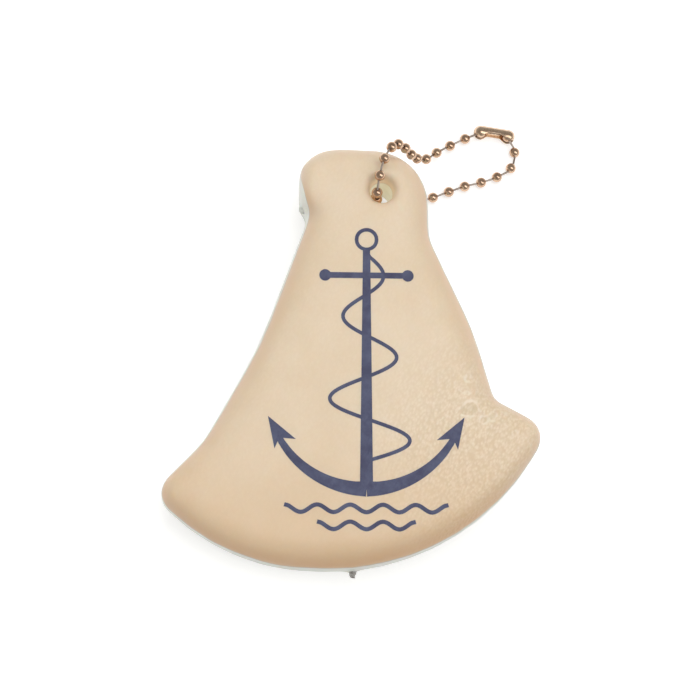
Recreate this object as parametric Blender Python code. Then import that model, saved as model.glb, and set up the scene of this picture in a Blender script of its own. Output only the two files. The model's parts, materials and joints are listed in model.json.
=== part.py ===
"""Floating key tag: a moulded foam float in the outline of a small sailing boat, with a bead chain.

The float lies face up with its neck toward +Y. The chain is a closed loop: it comes up out of the
hole in the neck, drops over the neck's top edge to the surface, turns round at the coupling, and runs
back under the neck, which it props up a little. Sizes are in metres. The origin is the middle of
the whole thing's footprint, on the surface it lies on.
"""

import math

import bmesh
import bpy
from mathutils import Matrix, Vector
from mathutils.geometry import delaunay_2d_cdt

# Foam float: overall sizes
FLOAT_WIDTH = 0.0870
FLOAT_LENGTH = 0.0937
FLOAT_THICKNESS = 0.0180
EDGE_ROUND = 0.0070
SLIM_SHARE = 0.8

# Neck: its place, the slope at its top left, and the step at the foot of its left side
NECK_TOP = 0.0450
NECK_RIGHT = 0.0174
NECK_WIDTH = 0.0290
NECK_RIGHT_HEIGHT = 0.0200
NECK_LEFT_HEIGHT = 0.0134
NECK_SLOPE_WIDTH = 0.0040
NECK_SLOPE_HEIGHT = 0.0048
NECK_STEP_WIDTH = 0.0020
NECK_STEP_HEIGHT = 0.0022

# Sides below the neck, measured out and down from the neck's top corners
RIGHT_SIDE_OUT = 0.0096
RIGHT_SIDE_DOWN = 0.0403
LEFT_SIDE_OUT = 0.0088
LEFT_SIDE_DOWN = 0.0453

# Tips of the hull, measured up from its bottom, and the corners measured from the tips
RIGHT_TIP_OUT = 0.0265
RIGHT_TIP_HEIGHT = 0.0310
LEFT_TIP_HEIGHT = 0.0164
NOTCH_DEPTH = 0.0124
NOTCH_HEIGHT = 0.0065
HOLLOW_DEPTH = 0.0111
HOLLOW_HEIGHT = 0.0113
HULL_RIGHT_INSET = 0.0197
HULL_LEFT_INSET = 0.0174

# Radii of the outline's fillets
NECK_SLOPE_RADIUS = 0.0025
NECK_LEFT_RADIUS = 0.0090
NECK_RIGHT_RADIUS = 0.0124
NECK_FOOT_RADIUS = 0.0080
RIGHT_SIDE_RADIUS = 0.0680
NOTCH_RADIUS = 0.0014
RIGHT_TIP_RADIUS = 0.0050
HULL_RADIUS = 0.0525
LEFT_TIP_RADIUS = 0.0053
HOLLOW_RADIUS = 0.0164
LEFT_SIDE_RADIUS = 0.0920
STEP_FOOT_RADIUS = 0.0016
STEP_RADIUS = 0.0049

# Through hole in the neck, with softly flared mouths
HOLE_FROM_RIGHT = 0.0109
HOLE_FROM_TOP = 0.01045
HOLE_RADIUS = 0.0029
HOLE_FLARE = 0.0016
CUT_BEYOND = 0.0030

# Moulding marks on the float's rim
SPRUE_RADIUS = 0.0009
SPRUE_TIP_RADIUS = 0.0005
SPRUE_LENGTH = 0.0016
SPRUE_FROM_LEFT_TIP = 0.0436
VENT_RADIUS = 0.0009
VENT_LENGTH = 0.0002
VENT_BELOW_STEP = 0.0004
MARK_ROOT = 0.0015

# Bead chain: hollow balls on dumbbell pins
BEAD_COUNT = 28
BEAD_RADIUS = 0.0012
BEAD_WALL = 0.0002
BEAD_OPENING_RADIUS = 0.00034
BEAD_PITCH = 0.0040
PIN_WIRE_RADIUS = 0.0002
PIN_HEAD_RADIUS = 0.0004
PIN_HEAD_FROM_CENTRE = 0.00045

# Folded sheet coupling that holds the two end balls
CUP_SPACING = 0.0064
CUP_CLEARANCE = 0.0002
SHEET_THICKNESS = 0.0003
END_HOLE_RADIUS = 0.0005
CUP_SLOT = math.radians(40)
WAIST_SLOT = math.radians(85)
SLOT_BLEND = 0.6
COUPLING_TURN = math.radians(-8.5)
COUPLING_ROLL = math.radians(-4)

# Where the float touches the chain below it, and where ink lies on the face
SEAT_GAP = 0.00025
INK_GAP = 0.00005
INK_THICKNESS = 0.00015

# Chain's bend at the back mouth of the hole, and its play inside the hole
CHAIN_BEND = 0.0056
CHAIN_PLAY = 0.0002

# Printed anchor and waves on the face
ANCHOR_X = 0.0030
RING_BELOW_HOLE = 0.01155
RING_RADIUS = 0.0022
RING_STROKE = 0.0008
STOCK_BELOW_RING = 0.0080
STOCK_WIDTH = 0.0180
STOCK_STROKE = 0.0013
SHANK_TOP_WIDTH = 0.0016
SHANK_FOOT_WIDTH = 0.0028
CROWN_ABOVE_HULL = 0.0172
ARM_RADIUS = 0.0215
ARM_REACH = math.radians(66)
ARM_CROWN_STROKE = 0.0032
ARM_TIP_STROKE = 0.0012
FLUKE_LENGTH = 0.0070
FLUKE_WIDTH = 0.0050
FLUKE_TIP_SHARE = 0.45
FLUKE_WAIST_SHARE = 0.3
FLUKE_INNER_SHARE = 0.6
ROPE_STROKE = 0.0008
ROPE_TOP_SWAY = 0.0030
ROPE_FOOT_SWAY = 0.0100
ROPE_TURNS = 2.5
ROPE_BELOW_RING = 0.0010
ROPE_ABOVE_CROWN = 0.0060
WAVE_STROKE = 0.0009
WAVE_LENGTH = 0.0070
WAVE_HEIGHT = 0.0008
WAVE_BELOW_CROWN = 0.0041
WAVE_SPACING = 0.0036
WAVES = {"print_wave_upper": 5, "print_wave_lower": 3}

# Fineness of the meshes
ARC_STEP = math.radians(13)
LONGEST_SIDE = 0.0060
NEIGHBOUR_GAP = 0.0025
MERGE_GAP = 0.000001
SMOOTH_REACH = 4
EDGE_STEPS = 4
MARK_STEPS = 8
INK_ARC_STEPS = 9
ARM_STEPS = 8
ROPE_STEPS = 60
WAVE_STEPS = 8
ROUTE_STEPS = 24
SOLVE_STEPS = 40
HOLE_STEPS = 20
FLARE_STEPS = 4
BEAD_STEPS = 8
BEAD_ARC_STEPS = 4
PIN_STEPS = 6
HEAD_ARC_STEPS = 3
CUP_STEPS = 3
SLEEVE_STEPS = 12
SLEEVE_SHARES = (1.0, 0.7, 0.5, 0.25)

# Places that follow from the sizes above
NECK_LEFT = NECK_RIGHT - NECK_WIDTH
STEP_TOP = NECK_TOP - NECK_LEFT_HEIGHT
HULL_BOTTOM = NECK_TOP - FLOAT_LENGTH
RIGHT_TIP_X = NECK_RIGHT + RIGHT_TIP_OUT
RIGHT_TIP_Y = HULL_BOTTOM + RIGHT_TIP_HEIGHT
LEFT_TIP_X = RIGHT_TIP_X - FLOAT_WIDTH
LEFT_TIP_Y = HULL_BOTTOM + LEFT_TIP_HEIGHT
SPRUE_X = LEFT_TIP_X + SPRUE_FROM_LEFT_TIP
HOLE_X = NECK_RIGHT - HOLE_FROM_RIGHT
HOLE_Y = NECK_TOP - HOLE_FROM_TOP
RING_Y = HOLE_Y - RING_BELOW_HOLE
STOCK_Y = RING_Y - STOCK_BELOW_RING
CROWN_Y = HULL_BOTTOM + CROWN_ABOVE_HULL

# Corners of the outline, clockwise from the foot of the neck's slope: x, y and the radius of the fillet
OUTLINE = [
    (NECK_LEFT, NECK_TOP - NECK_SLOPE_HEIGHT, NECK_SLOPE_RADIUS),
    (NECK_LEFT + NECK_SLOPE_WIDTH, NECK_TOP, NECK_LEFT_RADIUS),
    (NECK_RIGHT, NECK_TOP, NECK_RIGHT_RADIUS),
    (NECK_RIGHT, NECK_TOP - NECK_RIGHT_HEIGHT, NECK_FOOT_RADIUS),
    (NECK_RIGHT + RIGHT_SIDE_OUT, NECK_TOP - RIGHT_SIDE_DOWN, RIGHT_SIDE_RADIUS),
    (RIGHT_TIP_X - NOTCH_DEPTH, RIGHT_TIP_Y + NOTCH_HEIGHT, NOTCH_RADIUS),
    (RIGHT_TIP_X, RIGHT_TIP_Y, RIGHT_TIP_RADIUS),
    (RIGHT_TIP_X - HULL_RIGHT_INSET, HULL_BOTTOM, HULL_RADIUS),
    (LEFT_TIP_X + HULL_LEFT_INSET, HULL_BOTTOM, HULL_RADIUS),
    (LEFT_TIP_X, LEFT_TIP_Y, LEFT_TIP_RADIUS),
    (LEFT_TIP_X + HOLLOW_DEPTH, LEFT_TIP_Y + HOLLOW_HEIGHT, HOLLOW_RADIUS),
    (NECK_LEFT - LEFT_SIDE_OUT, NECK_TOP - LEFT_SIDE_DOWN, LEFT_SIDE_RADIUS),
    (NECK_LEFT + NECK_STEP_WIDTH, STEP_TOP - NECK_STEP_HEIGHT, STEP_FOOT_RADIUS),
    (NECK_LEFT, STEP_TOP, STEP_RADIUS),
]


def clear_scene():
    """Remove whatever is in the file."""
    for old in list(bpy.data.objects):
        bpy.data.objects.remove(old, do_unlink=True)


def material(name, colour, roughness, metallic=0.0):
    """A Principled material of one colour."""
    made = bpy.data.materials.new(name)
    made.use_nodes = True
    shader = made.node_tree.nodes["Principled BSDF"]
    shader.inputs["Base Color"].default_value = (*colour, 1.0)
    shader.inputs["Roughness"].default_value = roughness
    shader.inputs["Metallic"].default_value = metallic
    made.diffuse_color = (*colour, 1.0)
    return made


def add_object(name, mesh_maker, finish, parent, sharp=math.radians(40)):
    """Turn a bmesh into a smooth-shaded object."""
    bmesh.ops.recalc_face_normals(mesh_maker, faces=mesh_maker.faces)
    mesh = bpy.data.meshes.new(name)
    mesh_maker.to_mesh(mesh)
    mesh_maker.free()
    mesh.shade_smooth()
    mesh.set_sharp_from_angle(angle=sharp)
    mesh.materials.append(finish)
    made = bpy.data.objects.new(name, mesh)
    bpy.context.scene.collection.objects.link(made)
    made.parent = parent
    return made


def helper(made):
    """Mark an object as a cutter or a guide, which isn't part of the model."""
    made.hide_render = True
    made.display_type = "WIRE"
    return made


def combine(target, other, operation):
    """Cut another object from the target, or join it on."""
    modifier = target.modifiers.new(other.name, "BOOLEAN")
    modifier.operation = operation
    modifier.object = other
    modifier.solver = "EXACT"


def turned(profile, steps, closed=False):
    """Spin a profile of (radius, height) points round Z."""
    made = bmesh.new()
    points = [made.verts.new((radius, 0.0, height)) for radius, height in profile]
    edges = [made.edges.new(pair) for pair in zip(points, points[1:])]
    if closed:
        edges.append(made.edges.new((points[-1], points[0])))
    bmesh.ops.spin(made, geom=points + edges, cent=(0, 0, 0), axis=(0, 0, 1), angle=math.tau,
                   steps=steps, use_merge=True)
    bmesh.ops.remove_doubles(made, verts=made.verts, dist=MERGE_GAP)
    return made


def half_turn(before, corner, after):
    """Half the angle through which an outline turns at a corner."""
    return (math.pi - (before - corner).angle(after - corner)) / 2


def fillet(before, corner, after, radius):
    """Points of the arc that rounds one corner of an outline."""
    back = (before - corner).normalized()
    ahead = (after - corner).normalized()
    turn = 2 * half_turn(before, corner, after)
    start = corner + back * radius * math.tan(turn / 2)
    centre = corner + (back + ahead).normalized() * (radius / math.cos(turn / 2))
    steps = max(2, round(turn / ARC_STEP), round(radius * turn / LONGEST_SIDE))
    side = 1 if back.cross(ahead) > 0 else -1
    arm = start - centre
    return [centre + Matrix.Rotation(-side * turn * k / steps, 2) @ arm for k in range(steps + 1)]


def rounded_outline(corners):
    """The closed outline: fillets joined by straight runs, with no side left very long.

    Where two fillets would meet on one side, both are made smaller to fit it.
    """
    spots = [Vector((x, y)) for x, y, _ in corners]
    after = spots[1:] + spots[:1]
    before = spots[-1:] + spots[:-1]
    tangents = [radius * math.tan(half_turn(*trio))
                for trio, (_, _, radius) in zip(zip(before, spots, after), corners)]
    fits = [(there - here).length / (tangents[k] + tangents[(k + 1) % len(spots)])
            for k, (here, there) in enumerate(zip(spots, after))]
    bends = []
    for k, (_, _, radius) in enumerate(corners):
        fit = min(1.0, 0.99 * fits[k], 0.99 * fits[k - 1])
        bends += fillet(before[k], spots[k], after[k], radius * fit)
    points = []
    for here, ahead in zip(bends, bends[1:] + bends[:1]):
        pieces = max(1, math.ceil((ahead - here).length / LONGEST_SIDE))
        points += [here.lerp(ahead, k / pieces) for k in range(pieces)]
    return points


def inward_normals(points):
    """Unit normals that point into a clockwise outline."""
    normals = []
    for k, here in enumerate(points):
        ahead = (points[(k + 1) % len(points)] - here).normalized()
        along = ahead + (here - points[k - 1]).normalized()
        normals.append(Vector((along.y, -along.x)).normalized())
    return normals


def room_inside(points, normals):
    """Radius of the largest circle inside the outline that touches it at each point."""
    room = []
    for here, inward in zip(points, normals):
        best = math.inf
        for other in points:
            gap = other - here
            reach = gap.dot(inward)
            if reach > 0 and gap.length > NEIGHBOUR_GAP:
                best = min(best, gap.length_squared / (2 * reach))
        room.append(best)
    return room


def edge_rings(points):
    """Rings from the back face round the soft edge to the front face, each as 3-D points.

    The edge narrows where a tip is too slim for the full round, so that the rings never cross.
    """
    normals = inward_normals(points)
    room = room_inside(points, normals)
    limit = [min(EDGE_ROUND, SLIM_SHARE * radius) for radius in room]
    count = len(points)
    nearby = range(-SMOOTH_REACH, SMOOTH_REACH + 1)
    least = [min(limit[(k + j) % count] for j in nearby) for k in range(count)]
    width = [sum(least[(k + j) % count] for j in nearby) / len(nearby) for k in range(count)]
    rise = min(EDGE_ROUND, FLOAT_THICKNESS / 2)
    quarter = [k / EDGE_STEPS * math.pi / 2 for k in range(EDGE_STEPS + 1)]
    levels = [(1 - math.sin(a), rise * (1 - math.cos(a))) for a in quarter]
    levels += [(share, FLOAT_THICKNESS - height) for share, height in reversed(levels)]
    rings = []
    for share, height in levels:
        ring = [spot + inward * (reach * share) for spot, inward, reach in zip(points, normals, width)]
        rings.append([Vector((spot.x, spot.y, height)) for spot in ring])
    return rings


def lofted(rings):
    """A closed body through a stack of rings, capped at both ends."""
    made = bmesh.new()
    loops = [[made.verts.new(spot) for spot in ring] for ring in rings]
    for low, high in zip(loops, loops[1:]):
        for k in range(len(low)):
            made.faces.new((low[k - 1], low[k], high[k], high[k - 1]))
    made.faces.new(loops[0])
    made.faces.new(loops[-1])
    return made


def hole_cutter():
    """The through hole as a turned plug that widens with a round flare at both faces."""
    outer = HOLE_RADIUS + HOLE_FLARE
    quarter = [k / FLARE_STEPS * math.pi / 2 for k in range(FLARE_STEPS + 1)]
    upper = [(outer - HOLE_FLARE * math.cos(a), FLOAT_THICKNESS - HOLE_FLARE * (1 - math.sin(a)))
             for a in quarter]
    upper.append((outer, FLOAT_THICKNESS + CUT_BEYOND))
    lower = [(radius, FLOAT_THICKNESS - height) for radius, height in reversed(upper)]
    ends = [(0.0, -CUT_BEYOND), (0.0, FLOAT_THICKNESS + CUT_BEYOND)]
    return turned([ends[0], *lower, *upper, ends[1]], HOLE_STEPS)


def moulding_mark(root_radius, tip_radius, length):
    """A small tapered stub along +Z, with a root that sinks into the float."""
    return turned([(0.0, -MARK_ROOT), (root_radius, -MARK_ROOT), (root_radius, 0.0),
                   (tip_radius, length), (0.0, length)], MARK_STEPS)


def build_float(parent, rings, foam):
    """The foam float with its hole and its two moulding marks."""
    body = add_object("float_body", lofted(rings), foam, parent)
    cutter = helper(add_object("hole_cutter", hole_cutter(), foam, parent))
    cutter.location = (HOLE_X, HOLE_Y, 0)
    combine(body, cutter, "DIFFERENCE")
    hull = [spot for spot in rings[len(rings) // 2] if spot.y < LEFT_TIP_Y]
    nearest = min(hull, key=lambda spot: abs(spot.x - SPRUE_X))
    sprue = helper(add_object("sprue_guide", moulding_mark(SPRUE_RADIUS, SPRUE_TIP_RADIUS,
                                                           SPRUE_LENGTH), foam, parent))
    sprue.location = (SPRUE_X, nearest.y, FLOAT_THICKNESS / 2)
    sprue.rotation_euler = (math.pi / 2, 0, 0)
    combine(body, sprue, "UNION")
    vent = helper(add_object("vent_guide", moulding_mark(VENT_RADIUS, VENT_RADIUS, VENT_LENGTH),
                             foam, parent))
    vent.location = (NECK_LEFT, STEP_TOP - VENT_BELOW_STEP, FLOAT_THICKNESS / 2)
    vent.rotation_euler = (0, -math.pi / 2, 0)
    combine(body, vent, "UNION")
    return body


def ink_field(name, outlines, ink, parent):
    """Overlapping flat outlines merged into one field of ink just above the face."""
    spots = []
    loops = []
    for outline in outlines:
        ahead = outline[1:] + outline[:1]
        clockwise = sum(here.cross(there) for here, there in zip(outline, ahead)) < 0
        loops.append(list(range(len(spots), len(spots) + len(outline))))
        spots += outline[::-1] if clockwise else outline
    merged = delaunay_2d_cdt(spots, [], loops, 1, MERGE_GAP)
    corners, _, faces, _, _, sources = merged
    made = bmesh.new()
    verts = [made.verts.new((spot.x, spot.y, 0)) for spot in corners]
    for face, source in zip(faces, sources):
        if source:
            made.faces.new([verts[k] for k in face])
    loose = [vert for vert in made.verts if not vert.link_faces]
    bmesh.ops.delete(made, geom=loose, context="VERTS")
    field = add_object(name, made, ink, parent)
    field.location.z = FLOAT_THICKNESS + INK_GAP
    thicken = field.modifiers.new("thickness", "SOLIDIFY")
    thicken.thickness = INK_THICKNESS
    thicken.offset = 1.0
    return field


def stroke(path, widths):
    """A ribbon along a path of 2-D points, with its own width at each point."""
    left = []
    right = []
    for k, here in enumerate(path):
        along = path[min(k + 1, len(path) - 1)] - path[max(k - 1, 0)]
        across = Vector((-along.y, along.x)).normalized() * (widths[k] / 2)
        left.append(here + across)
        right.append(here - across)
    return left + right[::-1]


def arc_path(centre, radius, start, end, steps):
    """Points along part of a circle."""
    angles = [start + (end - start) * k / steps for k in range(steps + 1)]
    return [centre + Vector((math.cos(a), math.sin(a))) * radius for a in angles]


def anchor_outlines():
    """Every outline of the printed anchor: ring, shank, stock, arms, flukes and a winding rope."""
    crown = Vector((ANCHOR_X, CROWN_Y))
    ring = Vector((ANCHOR_X, RING_Y))
    shank_top = ring - Vector((0, RING_RADIUS))
    shapes = []
    for start in (0, math.pi):
        half = arc_path(ring, RING_RADIUS, start - 0.1, start + math.pi + 0.1, INK_ARC_STEPS)
        shapes.append(stroke(half, [RING_STROKE] * len(half)))
    shapes.append(stroke([shank_top, crown], [SHANK_TOP_WIDTH, SHANK_FOOT_WIDTH]))
    stock = Vector((STOCK_WIDTH / 2, 0))
    middle = Vector((ANCHOR_X, STOCK_Y))
    shapes.append(stroke([middle - stock, middle + stock], [STOCK_STROKE] * 2))
    for end in (middle - stock, middle + stock):
        shapes.append(arc_path(end, STOCK_STROKE, 0, math.tau * 0.9, INK_ARC_STEPS))
    arm_centre = crown + Vector((0, ARM_RADIUS))
    down = -math.pi / 2
    for side in (-1, 1):
        arm = arc_path(arm_centre, ARM_RADIUS, down, down + side * ARM_REACH, ARM_STEPS)
        taper = [ARM_CROWN_STROKE + (ARM_TIP_STROKE - ARM_CROWN_STROKE) * k / ARM_STEPS
                 for k in range(ARM_STEPS + 1)]
        shapes.append(stroke(arm, taper))
        tip = arm[-1]
        outward = (tip - arm_centre).normalized() * FLUKE_WIDTH
        onward = (arm[-1] - arm[-2]).normalized() * FLUKE_LENGTH
        root = tip - onward * (1 - FLUKE_TIP_SHARE)
        shapes.append([tip + onward * FLUKE_TIP_SHARE,
                       root - outward * FLUKE_INNER_SHARE,
                       tip - onward * FLUKE_WAIST_SHARE,
                       root + outward * (1 - FLUKE_INNER_SHARE)])
    rope_top = shank_top.y - ROPE_BELOW_RING
    rope_foot = CROWN_Y + ROPE_ABOVE_CROWN
    rope = []
    for k in range(ROPE_STEPS + 1):
        share = k / ROPE_STEPS
        sway = ROPE_TOP_SWAY + (ROPE_FOOT_SWAY - ROPE_TOP_SWAY) * share
        swing = sway * math.sin(math.tau * ROPE_TURNS * share)
        rope.append(Vector((ANCHOR_X + swing, rope_top + (rope_foot - rope_top) * share)))
    shapes.append(stroke(rope, [ROPE_STROKE] * len(rope)))
    return shapes


def wave_outline(height, crests):
    """One printed wave line, centred under the anchor."""
    steps = crests * WAVE_STEPS
    length = crests * WAVE_LENGTH
    path = []
    for k in range(steps + 1):
        share = k / steps
        lift = WAVE_HEIGHT * math.cos(math.tau * crests * share)
        path.append(Vector((ANCHOR_X + length * (share - 0.5), height + lift)))
    return stroke(path, [WAVE_STROKE] * len(path))


def smooth_path(points):
    """A dense polyline on the smooth curve through the points."""
    ends = [2 * points[0] - points[1], *points, 2 * points[-1] - points[-2]]
    path = []
    for a, b, c, d in zip(ends, ends[1:], ends[2:], ends[3:]):
        for k in range(ROUTE_STEPS):
            t = k / ROUTE_STEPS
            path.append(0.5 * (2 * b + (c - a) * t + (2 * a - 5 * b + 4 * c - d) * t ** 2
                               + (3 * b - 3 * c + d - a) * t ** 3))
    path.append(points[-1])
    return path


def walk(path, pitch):
    """Steps of one chord length along a path, and how many would reach its very end."""
    stops = [path[0]]
    k = 1
    while k < len(path):
        gap = (path[k] - stops[-1]).length
        if gap < pitch:
            k += 1
            continue
        before = (path[k - 1] - stops[-1]).length
        stops.append(path[k - 1].lerp(path[k], (pitch - before) / (gap - before)))
    return stops, len(stops) - 1 + (path[-1] - stops[-1]).length / pitch


def chain_route(frame, reach):
    """The chain's route from one cup of the coupling, round through the float, to the other cup.

    reach moves the loop's far end along the surface, so that the chain's length comes out right.
    """
    def float_point(dx, dy, height):
        return frame @ Vector((HOLE_X + dx, HOLE_Y + dy, height))

    cup_height = BEAD_RADIUS + CUP_CLEARANCE + SHEET_THICKNESS
    back = frame @ Vector((HOLE_X, HOLE_Y, 0))
    table = BEAD_RADIUS

    def table_point(dx, dy, height=table):
        return Vector((back.x + dx * reach, back.y + dy * reach, height))

    middle = table_point(0.0282, 0.01925, cup_height)
    along = Vector((math.cos(COUPLING_TURN), math.sin(COUPLING_TURN), 0)) * (CUP_SPACING / 2)
    face = FLOAT_THICKNESS
    lean = HOLE_RADIUS - BEAD_RADIUS - CHAIN_PLAY
    over = HOLE_FROM_TOP + BEAD_RADIUS
    turn = CHAIN_BEND
    eighth = turn * (1 - math.cos(math.pi / 4))
    return [
        middle + along,
        middle + along + Vector((0.0016, -0.0034, table - cup_height)),
        middle + along + Vector((0.0008, -0.0073, table - cup_height)),
        table_point(0.0292, 0.00915),
        table_point(0.0254, 0.00765),
        table_point(0.0216, 0.00665),
        table_point(0.0177, 0.00525),
        Vector((back.x + 0.0138, back.y + 0.00375, table)),
        Vector((back.x + 0.0100, back.y + 0.00255, table)),
        Vector((back.x + 0.0066, back.y + 0.0013, table)),
        Vector((back.x + turn - lean, back.y + 0.0003, table + 0.0001)),
        Vector((back.x + eighth - lean, back.y + 0.0001, table + eighth)),
        Vector((back.x - lean, back.y - 0.0001, table + turn)),
        float_point(-lean, -0.0002, 0.5 * face),
        float_point(-0.0009, -0.00115, face - 0.0050),
        float_point(-0.0012, -0.0014, face - 0.0011),
        float_point(-0.0009, 0.0012, face + BEAD_RADIUS + 0.0003),
        float_point(-0.0002, 0.0049, face + BEAD_RADIUS + 0.0010),
        float_point(0.0014, 0.0085, face + BEAD_RADIUS),
        float_point(0.0033, over - 0.0008, face - 0.0020),
        float_point(0.0052, over - 0.0003, face - 0.0055),
        float_point(0.0070, over - 0.0007, face - 0.0091),
        float_point(0.0086, over - 0.0006, 0.28 * face),
        Vector((back.x + 0.0110, back.y + over - 0.0001, table + 0.0036)),
        table_point(0.0138, 0.01395, table + 0.0014),
        table_point(0.0172, 0.01615, table + 0.0003),
        table_point(0.0208, 0.01805, table + 0.0001),
        middle - along,
    ]


def bead_centres(frame):
    """Ball centres along the route, one pitch apart, with the loop's reach solved to fit them."""
    short = 0.7
    long = 1.5
    for _ in range(SOLVE_STEPS):
        reach = (short + long) / 2
        stops, count = walk(smooth_path(chain_route(frame, reach)), BEAD_PITCH)
        if count < BEAD_COUNT - 1:
            short = reach
        else:
            long = reach
    route = chain_route(frame, reach)
    return stops[:BEAD_COUNT - 1] + [route[-1]], route[0], route[-1]


def bead_mesh():
    """A hollow ball with an opening at each pole, as rolled from thin sheet."""
    inner = BEAD_RADIUS - BEAD_WALL
    profile = []
    for radius, way in ((BEAD_RADIUS, 1), (inner, -1)):
        start = math.asin(BEAD_OPENING_RADIUS / radius)
        sweep = math.pi - 2 * start
        angles = [start + sweep * k / BEAD_ARC_STEPS for k in range(BEAD_ARC_STEPS + 1)]
        profile += [(radius * math.sin(a), radius * math.cos(a)) for a in angles[::way]]
    return turned(profile, BEAD_STEPS, closed=True)


def pin_mesh(span):
    """A dumbbell pin: a wire with an upset round head at each end."""
    neck = math.asin(PIN_WIRE_RADIUS / PIN_HEAD_RADIUS)
    angles = [(math.pi - neck) * k / HEAD_ARC_STEPS for k in range(HEAD_ARC_STEPS + 1)]
    upper = [(PIN_HEAD_RADIUS * math.sin(a), span / 2 + PIN_HEAD_RADIUS * math.cos(a))
             for a in angles]
    lower = [(radius, -height) for radius, height in reversed(upper)]
    return turned(upper + lower, PIN_STEPS)


def build_chain(centres, steel, parent):
    """All balls and pins, each laid along the chain."""
    runs = [(b - a).normalized() for a, b in zip(centres, centres[1:])]
    axes = [(a + b).normalized() for a, b in zip([runs[0], *runs], [*runs, runs[-1]])]
    mid_wall = BEAD_RADIUS - BEAD_WALL / 2
    opening = math.sqrt(mid_wall ** 2 - BEAD_OPENING_RADIUS ** 2)
    for k, (centre, axis) in enumerate(zip(centres, axes), start=1):
        ball = add_object(f"bead_{k:02d}", bead_mesh(), steel, parent)
        ball.location = centre
        ball.rotation_euler = axis.to_track_quat("Z", "Y").to_euler()
    span = BEAD_PITCH - 2 * PIN_HEAD_FROM_CENTRE
    for k in range(len(centres) - 1):
        start = centres[k] + axes[k] * opening
        end = centres[k + 1] - axes[k + 1] * opening
        pin = add_object(f"pin_{k + 1:02d}", pin_mesh(span), steel, parent)
        pin.location = (start + end) / 2
        pin.rotation_euler = (end - start).to_track_quat("Z", "Y").to_euler()


def sleeve_stations():
    """Stations along the coupling, from cup to cup.

    Each has the place and radius of the inner and the outer skin, and the slot's half angle.
    """
    inner = BEAD_RADIUS + CUP_CLEARANCE
    outer = inner + SHEET_THICKNESS
    last = math.acos(END_HOLE_RADIUS / inner)
    half = CUP_SPACING / 2
    stations = []
    for k in range(CUP_STEPS, 0, -1):
        bend = last * k / CUP_STEPS
        stations.append((half + inner * math.sin(bend), inner * math.cos(bend),
                         half + outer * math.sin(bend), outer * math.cos(bend), CUP_SLOT))
    for share in SLEEVE_SHARES:
        opened = math.sin(math.pi / 2 * min(1.0, (1 - share) / SLOT_BLEND)) ** 2
        slot = CUP_SLOT + (WAIST_SLOT - CUP_SLOT) * opened
        stations.append((half * share, inner, half * share, outer, slot))
    mirrored = [(-a, r, -b, s, slot) for a, r, b, s, slot in reversed(stations)]
    return stations + [(0.0, inner, 0.0, outer, WAIST_SLOT)] + mirrored


def connector_mesh():
    """The coupling: a sleeve of folded sheet with a cup at each end and a slot along one side.

    Its length lies along X, and the slot faces -Y.
    """
    made = bmesh.new()
    skins = ([], [])
    for inner_x, inner, outer_x, outer, slot in sleeve_stations():
        angles = [slot + (math.tau - 2 * slot) * k / SLEEVE_STEPS for k in range(SLEEVE_STEPS + 1)]
        for skin, x, radius in ((skins[0], inner_x, inner), (skins[1], outer_x, outer)):
            skin.append([made.verts.new((x, -radius * math.cos(a), radius * math.sin(a)))
                         for a in angles])
    for skin in skins:
        for row, after in zip(skin, skin[1:]):
            for k in range(SLEEVE_STEPS):
                made.faces.new((row[k], row[k + 1], after[k + 1], after[k]))
    inside, outside = skins
    for end in (0, -1):
        rim = (inside[end], outside[end])
        for k in range(SLEEVE_STEPS):
            made.faces.new((rim[0][k], rim[0][k + 1], rim[1][k + 1], rim[1][k]))
    for side in (0, -1):
        lip = ([row[side] for row in inside], [row[side] for row in outside])
        for k in range(len(inside) - 1):
            made.faces.new((lip[0][k], lip[0][k + 1], lip[1][k + 1], lip[1][k]))
    return made


def build_connector(first, last, steel, parent):
    """The coupling, laid between the two end balls that it holds, its slot rolled upward a little."""
    sleeve = add_object("connector", connector_mesh(), steel, parent)
    sleeve.location = (first + last) / 2
    sleeve.rotation_euler = (COUPLING_ROLL, 0, COUPLING_TURN)


def centre_on_footprint(whole, objects):
    """Move everything so that the origin is the middle of the footprint, on the surface."""
    bpy.context.view_layer.update()
    graph = bpy.context.evaluated_depsgraph_get()
    corners = []
    for item in objects:
        shape = item.evaluated_get(graph)
        mesh = shape.to_mesh()
        corners += [item.matrix_world @ vert.co for vert in mesh.vertices]
        shape.to_mesh_clear()
    low = Vector([min(spot[k] for spot in corners) for k in range(3)])
    high = Vector([max(spot[k] for spot in corners) for k in range(3)])
    whole.location = (-(low.x + high.x) / 2, -(low.y + high.y) / 2, -low.z)


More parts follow.
